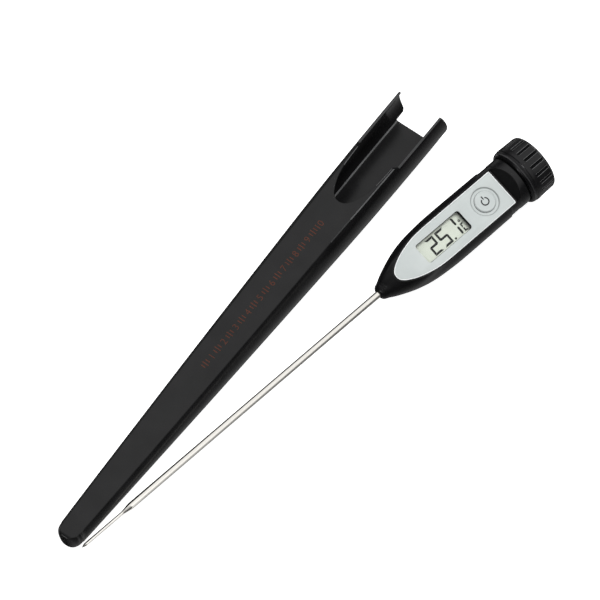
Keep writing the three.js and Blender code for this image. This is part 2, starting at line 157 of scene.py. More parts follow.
def rounded(points, radius, closed=False, steps=4, keep=()):
    """Rounds the corners of a polyline. radius is a number or a list, one for each point."""
    p = [np.array(q, float) for q in points]
    n = len(p)
    r = [radius] * n if np.isscalar(radius) else list(radius)
    out = []
    for i in range(n):
        if (not closed and i in (0, n - 1)) or r[i] <= 0 or i in keep:
            out.append(p[i].tolist())
            continue
        a, b, c = p[i - 1], p[i], p[(i + 1) % n]
        u, v = a - b, c - b
        lu, lv = np.linalg.norm(u), np.linalg.norm(v)
        if lu < 1e-9 or lv < 1e-9:
            out.append(b.tolist())
            continue
        u, v = u / lu, v / lv
        cosine = float(np.clip(u @ v, -1, 1))
        half = math.acos(cosine) / 2
        if half > math.pi / 2 - 0.02:
            out.append(b.tolist())
            continue
        back = min(r[i] / math.tan(half), 0.45 * lu, 0.45 * lv)
        s, e = b + u * back, b + v * back
        for k in range(steps + 1):
            t = k / steps
            out.append(((1 - t) ** 2 * s + 2 * t * (1 - t) * b + t * t * e).tolist())
    return out


def lathe(name, profile, angles=96, at=None, radial=None, closed=False):
    """Turns [x, r] pairs about X. angles: a count or a list of radians. radial(x, r, angle) may change r."""
    if np.isscalar(angles):
        angles = [2 * math.pi * i / angles for i in range(angles)]
    n = len(angles)
    verts, rows = [], []
    for x, r in profile:
        if r < 1e-6:
            rows.append([len(verts)])
            verts.append((x, 0, 0))
        else:
            rows.append(list(range(len(verts), len(verts) + n)))
            for a in angles:
                q = radial(x, r, a) if radial else r
                verts.append((x, q * math.cos(a), q * math.sin(a)))
    faces = []
    pairs = list(zip(rows, rows[1:]))
    if closed:
        pairs.append((rows[-1], rows[0]))
    for lo, hi in pairs:
        for i in range(n):
            j = (i + 1) % n
            if len(lo) == 1 and len(hi) == 1:
                continue
            if len(lo) == 1:
                faces.append((lo[0], hi[i], hi[j]))
            elif len(hi) == 1:
                faces.append((lo[i], hi[0], lo[j]))
            else:
                faces.append((lo[i], hi[i], hi[j], lo[j]))
    return clean(new_object(name, verts, faces, at))


def upright(name, profile, cx, cy, segs=72, at=None, radial=None):
    """Turns [r, z] pairs about a line along Z through (cx, cy)."""
    verts, rows = [], []
    for r, z in profile:
        if r < 1e-6:
            rows.append([len(verts)])
            verts.append((cx, cy, z))
        else:
            rows.append(list(range(len(verts), len(verts) + segs)))
            for i in range(segs):
                a = 2 * math.pi * i / segs
                q = radial(r, z, a) if radial else r
                verts.append((cx + q * math.cos(a), cy + q * math.sin(a), z))
    faces = []
    for lo, hi in zip(rows, rows[1:]):
        for i in range(segs):
            j = (i + 1) % segs
            if len(lo) == 1 and len(hi) == 1:
                continue
            if len(lo) == 1:
                faces.append((lo[0], hi[i], hi[j]))
            elif len(hi) == 1:
                faces.append((lo[i], hi[0], lo[j]))
            else:
                faces.append((lo[i], hi[i], hi[j], lo[j]))
    return clean(new_object(name, verts, faces, at))


def prism(name, outline, z0, z1, at=None):
    """A closed outline in XY raised from z0 to z1."""
    n = len(outline)
    verts = [(x, y, z0) for x, y in outline] + [(x, y, z1) for x, y in outline]
    faces = [tuple(range(n))[::-1], tuple(range(n, 2 * n))]
    faces += [(i, (i + 1) % n, n + (i + 1) % n, n + i) for i in range(n)]
    return clean(new_object(name, verts, faces, at))


def round_rect(x0, x1, y0, y1, r, steps=8):
    out = []
    for cx, cy, a0 in ((x1 - r, y1 - r, 0), (x0 + r, y1 - r, 90), (x0 + r, y0 + r, 180), (x1 - r, y0 + r, 270)):
        for k in range(steps + 1):
            a = math.radians(a0 + 90 * k / steps)
            out.append((cx + r * math.cos(a), cy + r * math.sin(a)))
    return out


def circle(cx, cy, r, n=64):
    return [(cx + r * math.cos(2 * math.pi * i / n), cy + r * math.sin(2 * math.pi * i / n)) for i in range(n)]


def sheet_metal(name, outlines, z0, z1, bevel=0.08, at=None, steps=3, plane=None):
    """A flat plate from an outer outline and holes, with rounded edges. Straight from a filled curve."""
    cu = bpy.data.curves.new(name, "CURVE")
    cu.dimensions = "2D"
    cu.fill_mode = "BOTH"
    for o in outlines:
        s = cu.splines.new("POLY")
        s.points.add(len(o) - 1)
        for q, (x, y) in zip(s.points, o):
            q.co = (x * MM, y * MM, 0, 1)
        s.use_cyclic_u = True
    cu.extrude = ((z1 - z0) / 2 - bevel) * MM
    cu.bevel_depth = bevel * MM
    cu.bevel_resolution = steps
    cu.offset = -bevel * MM
    tmp = bpy.data.objects.new(name + "_c", cu)
    bpy.context.scene.collection.objects.link(tmp)
    dg = bpy.context.evaluated_depsgraph_get()
    me = bpy.data.meshes.new_from_object(tmp.evaluated_get(dg))
    bpy.data.objects.remove(tmp)
    bpy.data.curves.remove(cu)
    me.transform(Matrix.Translation((0, 0, (z0 + z1) / 2 * MM)))
    if plane is not None:
        me.transform(plane)
    ob = bpy.data.objects.new(name, me)
    me.name = name
    bpy.context.scene.collection.objects.link(ob)
    if at is not None:
        ob.matrix_world = at
    return clean(ob)


def joined(name, parts):
    """One object of several meshes in the same frame."""
    bm = bmesh.new()
    for o in parts:
        bm.from_mesh(o.data)
    me = bpy.data.meshes.new(name)
    bm.to_mesh(me)
    bm.free()
    ob = bpy.data.objects.new(name, me)
    bpy.context.scene.collection.objects.link(ob)
    ob.matrix_world = parts[0].matrix_world.copy()
    for o in parts:
        old = o.data
        bpy.data.objects.remove(o)
        bpy.data.meshes.remove(old)
    return ob


# ------------------------------------------------------------------ materials
def material(name):
    m = bpy.data.materials.new(name)
    m.use_nodes = True
    nt = m.node_tree
    return m, nt, nt.nodes["Principled BSDF"]


def add(nt, kind, **values):
    n = nt.nodes.new(kind)
    for k, v in values.items():
        if hasattr(n, k):
            setattr(n, k, v)
        else:
            n.inputs[k.replace("_", " ")].default_value = v
    return n


def coords(nt, scale=(1, 1, 1)):
    tc = nt.nodes.new("ShaderNodeTexCoord")
    mp = nt.nodes.new("ShaderNodeMapping")
    mp.inputs["Scale"].default_value = scale
    nt.links.new(tc.outputs["Object"], mp.inputs["Vector"])
    return mp.outputs["Vector"]


def noise(nt, vec, scale, detail=3.0, rough=0.55):
    n = add(nt, "ShaderNodeTexNoise")
    n.inputs["Scale"].default_value = scale
    n.inputs["Detail"].default_value = detail
    n.inputs["Roughness"].default_value = rough
    nt.links.new(vec, n.inputs["Vector"])
    return n.outputs["Fac"]


def ramp(nt, fac, stops):
    r = nt.nodes.new("ShaderNodeValToRGB")
    nt.links.new(fac, r.inputs["Fac"])
    e = r.color_ramp.elements
    e[0].position, e[0].color = stops[0][0], (*stops[0][1], 1)
    e[1].position, e[1].color = stops[-1][0], (*stops[-1][1], 1)
    for pos, col in stops[1:-1]:
        k = e.new(pos)
        k.color = (*col, 1)
    return r.outputs["Color"]


def span(nt, fac, lo, hi):
    m = nt.nodes.new("ShaderNodeMapRange")
    m.inputs["To Min"].default_value = lo
    m.inputs["To Max"].default_value = hi
    nt.links.new(fac, m.inputs["Value"])
    return m.outputs["Result"]


def bump(nt, bsdf, height, strength, distance=0.0001):
    b = nt.nodes.new("ShaderNodeBump")
    b.inputs["Strength"].default_value = strength
    b.inputs["Distance"].default_value = distance
    nt.links.new(height, b.inputs["Height"])
    nt.links.new(b.outputs["Normal"], bsdf.inputs["Normal"])
    return b


def moulded(name, dark, light, rough, grain=9000, strength=0.25, scale=(1, 1, 1), spec=0.5, coat=0.0):
    """Moulded plastic or rubber: cloudy colour, uneven gloss and fine grain."""
    m, nt, p = material(name)
    v = coords(nt, scale)
    cloud = noise(nt, v, 90, 4)
    nt.links.new(ramp(nt, cloud, [(0.3, dark), (0.7, light)]), p.inputs["Base Color"])
    nt.links.new(span(nt, noise(nt, v, 260, 3), rough[0], rough[1]), p.inputs["Roughness"])
    p.inputs["Specular IOR Level"].default_value = spec
    p.inputs["Coat Weight"].default_value = coat
    bump(nt, p, noise(nt, v, grain, 2), strength, 0.00002)
    return m


def metal(name, dark, light, rough, stretch=(1, 1, 1), scale=400, strength=0.1, metallic=1.0):
    m, nt, p = material(name)
    v = coords(nt, stretch)
    streak = noise(nt, v, scale, 3)
    nt.links.new(ramp(nt, streak, [(0.3, dark), (0.7, light)]), p.inputs["Base Color"])
    nt.links.new(span(nt, streak, rough[0], rough[1]), p.inputs["Roughness"])
    p.inputs["Metallic"].default_value = metallic
    bump(nt, p, streak, strength, 0.00001)
    return m


BLACK = moulded("gloss_black", (0.0035, 0.0035, 0.0038), (0.006, 0.006, 0.0065), (0.16, 0.25), strength=0.08, spec=0.32)
SHEATH = moulded("satin_black", (0.0045, 0.0045, 0.0047), (0.0075, 0.0075, 0.0078), (0.17, 0.26), strength=0.1, spec=0.32)
LABEL = moulded("silver_film", (0.435, 0.468, 0.462), (0.475, 0.508, 0.5), (0.36, 0.48), grain=14000, strength=0.12)
PAD = moulded("silver_pad", (0.44, 0.472, 0.466), (0.475, 0.508, 0.5), (0.34, 0.44), grain=14000, strength=0.1)
# darker, less glossy black: painted shade for the collar's scoop and the gap before the cap
BLACK_SHADE_DULL = moulded("dull_black_painted_shade", (0.0025, 0.0025, 0.0028), (0.004, 0.004, 0.0044), (0.45, 0.6), strength=0.15, spec=0.1)
# lighter black for edge lines: a painted highlight on groove lips and edges
EDGE_HIGHLIGHT_BLACK = moulded("black_edge_painted_highlight", (0.016, 0.016, 0.017), (0.03, 0.03, 0.031), (0.22, 0.32), strength=0.1, spec=0.5)
# near-white for the face plate's edge strip: a painted highlight on its bevel
RIM_HIGHLIGHT = moulded("rim_painted_highlight", (0.8, 0.82, 0.82), (0.86, 0.88, 0.88), (0.2, 0.3), grain=14000, strength=0.05)
# grey for thin lines on edges and fillets: a painted highlight
EDGE_HIGHLIGHT_GREY = moulded("grey_edge_painted_highlight", (0.06, 0.06, 0.062), (0.115, 0.115, 0.118), (0.3, 0.45), strength=0.1, spec=0.5)
# darker silver for the button dish's sloping walls: painted shade in the groove
DISH_WALL_SHADE = moulded("silver_dish_painted_shade", (0.27, 0.29, 0.286), (0.33, 0.352, 0.346), (0.36, 0.48), grain=14000, strength=0.12)
# dark ink for print, also used for the strip of painted shadow on the display
INK_AND_SHADOW = moulded("dark_ink_and_painted_shadow", (0.018, 0.019, 0.02), (0.03, 0.031, 0.033), (0.45, 0.6), grain=16000, strength=0.05)
RED = moulded("dull_red_ink", (0.052, 0.016, 0.009), (0.074, 0.022, 0.012), (0.5, 0.62), grain=7000, strength=0.1, spec=0.3)
SEGMENT = moulded("lcd_segment", (0.006, 0.007, 0.007), (0.011, 0.012, 0.012), (0.3, 0.4), strength=0.02, spec=0.2)
DISPLAY = moulded("lcd_grey_green", (0.62, 0.638, 0.578), (0.66, 0.678, 0.618), (0.3, 0.4), grain=20000, strength=0.05, spec=0.2)
WHITE = moulded("white_plastic", (0.62, 0.62, 0.59), (0.7, 0.7, 0.68), (0.45, 0.6))
RUBBER = moulded("black_rubber", (0.011, 0.011, 0.012), (0.018, 0.018, 0.019), (0.62, 0.8), strength=0.5)
EPOXY = moulded("black_epoxy", (0.006, 0.006, 0.007), (0.01, 0.01, 0.011), (0.18, 0.3), strength=0.1)
BOARD = moulded("green_mask", (0.02, 0.115, 0.045), (0.03, 0.15, 0.06), (0.3, 0.42), strength=0.15)
CERAMIC = moulded("ceramic", (0.24, 0.16, 0.09), (0.32, 0.21, 0.12), (0.5, 0.65), strength=0.3)
STEEL = metal("drawn_steel", (0.86, 0.835, 0.78), (0.96, 0.94, 0.89), (0.11, 0.17), (3, 60, 60), 60, 0.05)
NICKEL = metal("nickel", (0.56, 0.54, 0.5), (0.66, 0.64, 0.6), (0.18, 0.3), (1, 1, 1), 900, 0.1)
COPPER = metal("enamelled_copper", (0.5, 0.2, 0.08), (0.62, 0.27, 0.11), (0.3, 0.42), (1, 1, 1), 900, 0.1)


def clear_pane():
    m, nt, p = material("clear_pane")
    out = nt.nodes["Material Output"]
    nt.nodes.remove(p)
    t = add(nt, "ShaderNodeBsdfTransparent")
    t.inputs["Color"].default_value = (0.97, 0.98, 0.97, 1)
    g = add(nt, "ShaderNodeBsdfGlossy")
    g.inputs["Roughness"].default_value = 0.06
    v = coords(nt)
    nt.links.new(span(nt, noise(nt, v, 500, 2), 0.05, 0.09), g.inputs["Roughness"])
    lw = add(nt, "ShaderNodeLayerWeight")
    lw.inputs["Blend"].default_value = 0.5
    fifth = add(nt, "ShaderNodeMath")
    fifth.operation = "POWER"
    fifth.inputs[1].default_value = 5.0
    nt.links.new(lw.outputs["Facing"], fifth.inputs[0])
    gloss = span(nt, fifth.outputs["Value"], 0.017, 0.8)
    mix = nt.nodes.new("ShaderNodeMixShader")
    nt.links.new(gloss, mix.inputs["Fac"])
    nt.links.new(t.outputs["BSDF"], mix.inputs[1])
    nt.links.new(g.outputs["BSDF"], mix.inputs[2])
    nt.links.new(mix.outputs["Shader"], out.inputs["Surface"])
    return m


PANE = clear_pane()


def dress(ob, mat, body, replaces=()):
    ob.data.transform(ob.matrix_world)
    ob.matrix_world = Matrix.Identity(4)
    ob.data.materials.clear()
    ob.data.materials.append(mat)
    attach(ob, body)
    if replaces:
        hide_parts(*replaces)
    return ob


# ------------------------------------------------------------------ housing
NOSE = curve_points([
    (200.5, 3.5), (201.2, 4.05), (203.2, 4.9), (206.3, 6.5), (210.6, 8.35), (215.9, 10.35), (221.2, 11.9), (226.5, 13.0),
    (231.8, 13.65), (237.1, 14.05), (243, 14.33), (250, 14.4), (264, 14.35), (274.6, 14.25),
], 7)
COLLAR = rounded([
    (274.6, 14.25), (280.4, 14.2), (281.1, 13.75), (286.2, 13.66), (287.3, 13.66), (287.9, 13.85), (293.2, 13.85), (293.6, 13.5),
    (293.6, 11.45), (296.6, 11.4),
], [0, 0.5, 0.4, 0, 0.4, 0.3, 0.25, 0.15, 0.15, 0], steps=4)

# three fine rings behind the stem's exit
fine_nose = []
for (x0, r0), (x1, r1) in zip(NOSE, NOSE[1:]):
    n = max(1, round((x1 - x0) / 0.07)) if x0 < 204.8 else 1
    fine_nose += [[x0 + (x1 - x0) * k / n, r0 + (r1 - r0) * k / n] for k in range(n)]
fine_nose.append(NOSE[-1])
for q in fine_nose:
    near = min(abs(q[0] - c) for c in (201.9, 202.9, 203.9))
    if near < 0.21:
        q[1] -= 0.15 * math.cos(near / 0.21 * math.pi / 2)
NOSE = fine_nose
HEAD_X = np.array([p[0] for p in NOSE + COLLAR[1:] if p[0] < 293.3])
HEAD_R = np.array([p[1] for p in NOSE + COLLAR[1:] if p[0] < 293.3])


def head_radius(x):
    return float(np.interp(x, HEAD_X, HEAD_R))


def skin_z(x, y):
    return math.sqrt(max(head_radius(x) ** 2 - y * y, 0.01))


BACK_FLAT = 10.9
SEAT_Z = 6.9
THREAD_PITCH = 2.5


def male_thread(x, base, angle):
    r = base
    a = angle / (2 * math.pi)
    for k in (0, 1):
        turn = a + k
        if turn > 1.9:
            continue
        d = abs(x - (297.9 + THREAD_PITCH * turn))
        crest = 12.7 - 1.0 * max(0.0, 1 - turn / 0.06) - 1.0 * max(0.0, 1 - (1.9 - turn) / 0.06)
        r = max(r, min(crest, crest - (d - 0.275) / 0.475 * 1.3))
    return r


def housing():
    neck = [(296.6, 11.7)] + [(296.6 + 0.11 * i, 11.7) for i in range(1, 69)] + [(304.2, 11.65), (304.45, 11.45), (304.6, 11.1)]
    profile = [(200.0, 0), (200.0, 2.55), (200.08, 2.8), (200.25, 3.1)] + NOSE + COLLAR[1:] + neck + [(304.6, 0)]

    def shape(x, r, a):
        return male_thread(x, r, a) if 296.7 < x < 304.3 else r

    ob = lathe("housing_shell", profile, 240, T_FRAME, shape)
    # flat back, blended at its sides and stepped at the collar
    for v in ob.data.vertices:
        x, y, z = (c / MM for c in v.co)
        if x < 288 and z < -BACK_FLAT + 0.45:
            d = (-BACK_FLAT) - z
            soft = max(0.0, d + 0.45)
            lift = soft * soft / 1.8 if soft < 0.9 else d
            fade = min(1.0, max(0.0, (287.55 - x) / 0.35))
            fade = fade * fade * (3 - 2 * fade)
            v.co.z += max(0.0, lift) * fade * MM
    return ob


LABEL_HALF = curve_points([
    (210.7, 0), (210.95, 1.5), (211.7, 2.75), (213.6, 4.4), (216.2, 5.85), (219, 7.1), (221.6, 8.0), (224.3, 8.75), (227, 9.4),
    (229.6, 9.88), (232.2, 10.22), (234.9, 10.43), (240.2, 10.6),
], 6)


def label_outline(grow=0.0, corner=0.8):
    """Closed outline of the face plate, moved outwards by grow."""
    half = LABEL_HALF + [(240.2 + 2.5 * i, 10.6) for i in range(1, 17)]
    tail = rounded([(282.0, 10.6), (284.8, 10.6), (284.8, 0)], [0, corner, 0], steps=7)
    half = half + tail[:-1]
    y = tail[-2][1]
    half += [(284.8, y * (1 - k / 12)) for k in range(1, 12)] + [(284.8, 0)]
    full = half + [(x, -y) for x, y in half[-2:0:-1]]
    if abs(grow) < 1e-9:
        return full
    p = np.array(full)
    n = len(p)
    out = []
    for i in range(n):
        a, b = p[i - 1], p[(i + 1) % n]
        t = b - a
        q = np.array((-t[1], t[0]))
        q /= np.linalg.norm(q)
        out.append((p[i] + q * grow).tolist())
    return out


def face_cutter():
    """Lofted tool for the face recess: upright sides, a slanted end, and lips rounded along the skin."""
    base = label_outline(0.6, 0.8)
    p = np.array(base)
    n = len(p)
    rings = [[] for _ in range(9)]
    for i in range(n):
        t = p[(i + 1) % n] - p[i - 1]
        out = np.array((-t[1], t[0]))
        out /= np.linalg.norm(out)
        x, y = p[i]
        g = min(1.0, max(0.0, (x - 284.7) / 0.7))
        g = g * g * (3 - 2 * g)
        bx, by = x + 0.5 * g, y
        tx, ty = bx, by
        for _ in range(12):
            z = skin_z(tx, ty)
            tx = bx + g * (z - SEAT_Z) / 1.702
        z = skin_z(tx, ty)
        bottom = np.array((bx, by, SEAT_Z))
        top = np.array((tx, ty, z))
        up = (top - bottom) / np.linalg.norm(top - bottom)
        e = 0.02
        slope = (skin_z(tx + out[0] * e, ty + out[1] * e) - z) / e
        along = np.array((out[0], out[1], slope))
        along /= np.linalg.norm(along)
        r = 0.42
        a, c = top - up * r, top + along * r
        rings[0].append(bottom)
        rings[1].append(a)
        for k, w in enumerate((0.25, 0.5, 0.75)):
            rings[2 + k].append((1 - w) ** 2 * a + 2 * w * (1 - w) * top + w * w * c)
        rings[5].append(c)
        rings[6].append(c + np.array((out[0], out[1], 0)) * 0.05 + np.array((0, 0, 0.4)))
        rings[7].append(np.array((c[0] + out[0] * 0.1, c[1] + out[1] * 0.1, 16.0)))
        rings[8].append(np.array((c[0] + out[0] * 0.1, c[1] + out[1] * 0.1, 20.0)))
    verts = [tuple(v) for ring in rings for v in ring]
    faces = []
    for k in range(len(rings) - 1):
        for i in range(n):
            j = (i + 1) % n
            faces.append((k * n + i, k * n + j, (k + 1) * n + j, (k + 1) * n + i))
    last = (len(rings) - 1) * n
    for off, flip in ((0, True), (last, False)):
        m = n // 2
        for i in range(0, m):
            q = [off + i, off + i + 1, off + (n - i - 1) % n, off + (n - i) % n]
            q = list(dict.fromkeys(q))
            if len(q) > 2:
                faces.append(tuple(q[::-1] if flip else q))
    return clean(new_object("face_tool", verts, faces, T_FRAME))


def x_bar(name, x0, x1, r, y=0.0, z=0.0, segs=48):
    ob = lathe(name, [(x0, 0), (x0, r), (x1, r), (x1, 0)], segs, T_FRAME)
    for v in ob.data.vertices:
        v.co.y += y * MM
        v.co.z += z * MM
    return ob


shell = housing()
room = lathe("room_tool", [(214, 0), (214, 7.7), (216, 8.6), (221.2, 10.25), (226.5, 11.35), (231.8, 12.0), (237.1, 12.4), (250, 12.75),
                           (280, 12.5), (286, 12.1), (289.5, 10.3), (292, 10.3), (292, 0)], 64, T_FRAME)
for v in room.data.vertices:
    v.co.z = min(max(v.co.z, -9.3 * MM), 5.3 * MM)
clean(room)
channel = prism("channel_tool", [(288.3, -1.7), (310, -1.7), (310, 1.7), (288.3, 1.7)], -11.0, -8.0, T_FRAME)
cut(shell, face_cutter(), room, x_bar("neck_tool", 290, 310, 10.3), channel, x_bar("nose_tool", 195, 216, 2.05, segs=32),
    prism("window_tool", round_rect(228.5, 258.0, -5.55, 5.8, 1.3), 4.9, 8.0, T_FRAME),
    prism("rebate_tool", round_rect(227.3, 259.5, -7.1, 7.1, 1.6), 5.9, 8.0, T_FRAME),
    prism("button_tool", circle(272.6, 0, 2.3), 4.9, 8.0, T_FRAME))
clean(shell)
soften(shell, 28)
dress(shell, BLACK, "thermometer", ["housing"])
# painted shade: the collar's upper faces turned towards the point, and the ring between collar and cap, get the darker,
# duller black
shell.data.materials.append(BLACK_SHADE_DULL)
back_to_t = T_FRAME.inverted()
for f in shell.data.polygons:
    c = back_to_t @ f.center / MM
    n = back_to_t.to_3x3() @ f.normal
    if 284.6 < c.x < 292.5 and c.z > 6.95 and n.x < -0.45 and abs(c.y) < 11.2:
        f.material_index = 1
    if 291.9 < c.x < 296.8:
        f.material_index = 1

# ------------------------------------------------------------------ face plate, display and button
plate = sheet_metal("face_plate", [
    label_outline(-0.43, 0.6), round_rect(228.6, 258.6, -5.85, 5.85, 1.5), circle(272.6, 0, 7.75, 120),
], 7.15, 7.65, 0.06, T_FRAME)
soften(plate, 40)
dress(plate, LABEL, "thermometer", ["face_label"])

# a near-white strip round the face plate's edge: painted highlight on its bevel
rim = sheet_metal("face_rim", [label_outline(0.0, 0.9), label_outline(-0.41, 0.6)], 7.15, 7.72, 0.16, T_FRAME, 4)
soften(rim, 50)
dress(rim, RIM_HIGHLIGHT, "thermometer")

ring = upright("button_dish", rounded([
    (7.73, 6.98), (7.73, 7.64), (7.62, 7.64), (7.1, 7.1), (5.85, 7.1), (5.75, 7.04), (5.75, 6.98), (7.73, 6.98),
], [0, 0.04, 0.2, 0.25, 0.06, 0.04, 0, 0], steps=5), 272.6, 0, 120, T_FRAME)
soften(ring, 50)
dress(ring, LABEL, "thermometer")
# painted shade: the dish's sloping walls get the darker silver
ring.data.materials.append(DISH_WALL_SHADE)
for f in ring.data.polygons:
    if (back_to_t.to_3x3() @ f.normal).z < 0.93:
        f.material_index = 1

pad = upright("button_pad_top", rounded([
    (0, 7.35), (5.5, 7.35), (5.68, 7.38), (5.66, 7.45), (5.12, 7.98), (4.4, 7.9), (2.6, 7.98), (0, 8.04),
], [0, 0.05, 0.03, 0.05, 0.35, 0.6, 1.5, 0], steps=5), 272.6, 0, 120, T_FRAME)
soften(pad, 45)
dress(pad, PAD, "power_button", ["button_pad"])


def band(points, width):
    """A closed outline round an open path."""
    p = np.array(points, float)
    left, right = [], []
    for i in range(len(p)):
        a, b = p[max(i - 1, 0)], p[min(i + 1, len(p) - 1)]
        t = (b - a) / np.linalg.norm(b - a)
        q = np.array((-t[1], t[0])) * width / 2
        left.append((p[i] + q).tolist())
        right.append((p[i] - q).tolist())
    return left + right[::-1]


arc = [(272.6 + 1.95 * math.cos(math.radians(a)), 1.95 * math.sin(math.radians(a))) for a in range(120, 421, 10)]
symbol = joined("power_symbol", [
    sheet_metal("sym_a", [band(arc, 0.66)], 7.9, 8.045, 0.02, T_FRAME, 1),
    sheet_metal("sym_b", [round_rect(272.29, 272.91, 1.2, 3.3, 0.2)], 7.9, 8.045, 0.02, T_FRAME, 1),
])
soften(symbol, 40)
dress(symbol, INK_AND_SHADOW, "power_button")


# seven-segment digits, upright as read with the cap at the right
def segment_shapes(x0, y0, w, h, on, thick=0.95, gap=0.12, lean=0.0):
    t = thick
    m = h / 2
    shapes = {
        "a": [(0, h), (w, h), (w - t, h - t), (t, h - t)],
        "d": [(0, 0), (t, t), (w - t, t), (w, 0)],
        "f": [(0, h), (t, h - t), (t, m + t / 2), (0, m)],
        "e": [(0, m), (t, m - t / 2), (t, t), (0, 0)],
        "b": [(w, h), (w, m), (w - t, m + t / 2), (w - t, h - t)],
        "c": [(w, m), (w, 0), (w - t, t), (w - t, m - t / 2)],
        "g": [(0, m), (t * 0.55, m + t / 2), (w - t * 0.55, m + t / 2), (w, m), (w - t * 0.55, m - t / 2), (t * 0.55, m - t / 2)],
    }
    out = []
    for s in on:
        q = np.array(shapes[s], float)
        c = q.mean(0)
        q = c + (q - c) * (1 - gap / np.maximum(np.abs(q - c).max(0), 0.3))
        out.append([(x0 + x + lean * y, y0 + y) for x, y in q])
    return out


digits = []
for x0, w, on in ((234.8, 5.5, "abged"), (241.6, 5.6, "afgcd")):
    digits += segment_shapes(x0, -4.9, w, 9.7, on, 1.3, 0.06)
digits += [[(253.0, 5.0), (253.6, 5.2), (254.2, 4.4), (254.2, 1.1), (253.6, 0.5), (253.0, 1.1)],
           [(253.0, -0.9), (253.6, -0.3), (254.2, -0.9), (254.2, -4.4), (253.6, -5.0), (253.0, -4.6)]]
digits += [round_rect(248.3, 249.4, -5.0, -3.9, 0.2, 3)]
digits += segment_shapes(255.3, -4.9, 2.3, 4.9, "adef", 0.85, 0.03)
for name, outlines in (("lcd_digits", digits),):
    made = [sheet_metal(f"seg_{i}", [o], 4.705, 4.76, 0.01, T_FRAME, 1) for i, o in enumerate(digits)]
    deg = upright("seg_deg", [(0.22, 4.705), (0.22, 4.76), (0.68, 4.76), (0.68, 4.705), (0.22, 4.705)], 256.3, 1.5, 32, T_FRAME)
    lcd_digits = joined(name, made + [deg])
soften(lcd_digits, 30)
dress(lcd_digits, SEGMENT, "thermometer")

# dark strip on the display glass, widest at the cap's end: painted shadow of the window's walls
lcd_shadow_sheet = sheet_metal("lcd_painted_shadow", [round_rect(228.3, 258.7, -5.9, 5.9, 1.1), round_rect(228.5, 257.85, -5.7, 5.84, 0.9)], 4.72, 4.88, 0.03, T_FRAME, 2)
soften(lcd_shadow_sheet, 40)
dress(lcd_shadow_sheet, INK_AND_SHADOW, "thermometer")

# ------------------------------------------------------------------ stem
stem_out = curve_points([(0, 0), (0.35, 0.16), (0.9, 0.40), (1.7, 0.68), (2.7, 0.83), (3.6, 0.85)], 4) + \
    [(10, 0.85), (18, 0.85), (26.4, 0.85)] + curve_points([(26.4, 0.85), (27.2, 0.92), (28.6, 1.17), (30.6, 1.52), (31.8, 1.71), (32.6, 1.75)], 4)[1:]
stem_out += [(40 + 10 * i, 1.75) for i in range(19)] + [(220.4, 1.75), (220.5, 1.7)]
stem_in = [(220.5, 1.45), (220, 1.45), (31.5, 1.45), (27, 0.62), (4, 0.62), (3.2, 0.3), (3.0, 0)]
stem = lathe("steel_stem", stem_out + stem_in, 64, T_FRAME)
soften(stem, 35)
dress(stem, STEEL, "thermometer", ["probe_stem"])

# ------------------------------------------------------------------ battery cap
GROOVES = 20
GROOVE_PHASE = 100.7


def cap_radius(x, r, a):
    if r < 13.9:
        return r
    step = 360 / GROOVES
    d = (math.degrees(a) - GROOVE_PHASE + step / 2) % step - step / 2
    side = 16.1 * math.radians(abs(d))
    rg, deep = 0.8, 1.15
    if x < 301.0:
        k = (301.0 - x) / 0.95
        if k >= 1:
            return r
        rg *= math.sqrt(1 - k * k)
        deep *= math.sqrt(1 - k * k)
    if x > 307.9:
        k = (x - 307.9) / 0.95
        if k >= 1:
            return r
        rg *= math.sqrt(1 - k * k)
        deep *= math.sqrt(1 - k * k)
    if side >= rg:
        edge = (side - rg) / 0.3
        return r - 0.07 * max(0.0, 1 - edge) ** 2 if edge < 1 and 300.2 < x < 308.6 else r
    return r - 0.07 - deep * (1 - (side / rg) ** 1.6)


def female_thread(x, r, a):
    if not (295.8 < x < 305.6 and r < 13.6):
        return r
    t = a / (2 * math.pi)
    phase = 0.3 / THREAD_PITCH
    for k in (-1, 0, 1, 2, 3):
        turn = t - phase + k
        if 0 <= turn <= 2.6:
            d = abs(x - (296.95 + THREAD_PITCH * turn))
            crest = 12.1 + 1.0 * max(0.0, 1 - turn / 0.06) + 1.0 * max(0.0, 1 - (2.6 - turn) / 0.06)
            if d < 0.75:
                r = min(r, max(crest, crest + (d - 0.275) / 0.475 * 1.3))
    return r


